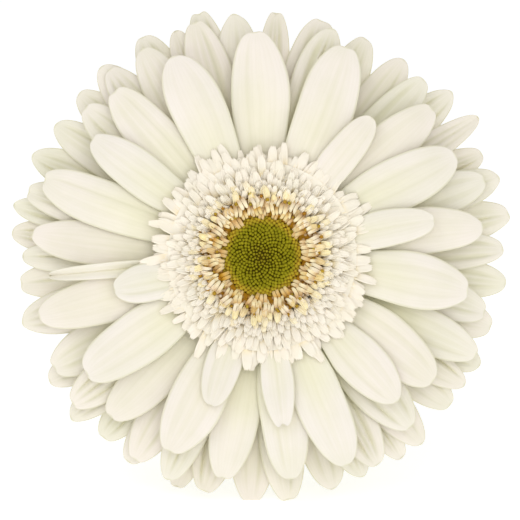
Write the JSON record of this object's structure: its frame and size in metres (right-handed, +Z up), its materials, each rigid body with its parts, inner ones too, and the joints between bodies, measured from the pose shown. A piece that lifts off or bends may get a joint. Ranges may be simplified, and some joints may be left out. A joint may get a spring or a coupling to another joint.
{
  "type": "cut gerbera",
  "caption": "Cut white gerbera flower lying on its side, with a green eye, layered strap petals and a long bare curved stem.",
  "frame": {"origin": "bottom centre of the bounding box, on the surface the flower lies on", "axes": "+Y along the stem from the head to the cut end, +Z up, +X to the right as seen from the front of the face, which looks along -Y and slightly up"},
  "size_m": [0.1138, 0.4062, 0.1106],
  "materials": {
    "stem_green": "pale green, slightly ribbed and finely hairy plant stem",
    "receptacle_flesh": "pale green moist plant flesh",
    "bract_green": "matt green bracts, paler and downy at the edges",
    "bud_green": "olive green closed buds with a soft sheen",
    "floret_tan": "cream and tan open florets, velvety",
    "floret_cream": "soft white-cream florets",
    "petal_cream": "satin cream-white petal",
    "petal_ivory": "satin ivory-white petal with faint lengthwise grooves",
    "petal_pale_ivory": "satin ivory petal, slightly greener"
  },
  "bodies": {
    "root": {"stem": "stem_green", "receptacle": "receptacle_flesh", "inner_bracts": "bract_green", "outer_bracts": "bract_green", "disc_buds": "bud_green", "open_disc_florets": "floret_tan", "trans_florets": "floret_cream", "short_petal_01": "petal_cream", "short_petal_02": "petal_cream", "short_petal_03": "petal_cream", "short_petal_04": "petal_cream", "short_petal_05": "petal_cream", "front_petal_01": "petal_ivory", "front_petal_02": "petal_ivory", "front_petal_03": "petal_ivory", "front_petal_04": "petal_ivory", "front_petal_05": "petal_ivory", "front_petal_06": "petal_ivory", "front_petal_07": "petal_ivory", "front_petal_08": "petal_ivory", "front_petal_09": "petal_ivory", "front_petal_10": "petal_ivory", "front_petal_11": "petal_ivory", "front_petal_12": "petal_ivory", "front_petal_13": "petal_ivory", "front_petal_14": "petal_ivory", "front_petal_15": "petal_ivory", "front_petal_16": "petal_ivory", "front_petal_17": "petal_ivory", "front_petal_18": "petal_ivory", "front_petal_19": "petal_ivory", "front_petal_20": "petal_ivory", "front_petal_21": "petal_ivory", "middle_petal_01": "petal_ivory", "middle_petal_02": "petal_ivory", "middle_petal_03": "petal_ivory", "middle_petal_04": "petal_ivory", "middle_petal_05": "petal_ivory", "middle_petal_06": "petal_ivory", "middle_petal_07": "petal_ivory", "middle_petal_08": "petal_ivory", "middle_petal_09": "petal_ivory", "middle_petal_10": "petal_ivory", "middle_petal_11": "petal_ivory", "middle_petal_12": "petal_ivory", "middle_petal_13": "petal_ivory", "middle_petal_14": "petal_ivory", "middle_petal_15": "petal_ivory", "middle_petal_16": "petal_ivory", "rear_petal_fan_01": "petal_pale_ivory", "rear_petal_fan_02": "petal_pale_ivory", "rear_petal_fan_03": "petal_pale_ivory", "rear_petal_fan_04": "petal_pale_ivory", "rear_petal_fan_05": "petal_pale_ivory", "rear_petal_fan_06": "petal_pale_ivory", "rear_petal_fan_07": "petal_pale_ivory", "rear_petal_fan_08": "petal_pale_ivory", "rear_petal_fan_09": "petal_pale_ivory", "rear_petal_fan_10": "petal_pale_ivory"}
  },
  "joints": []
}
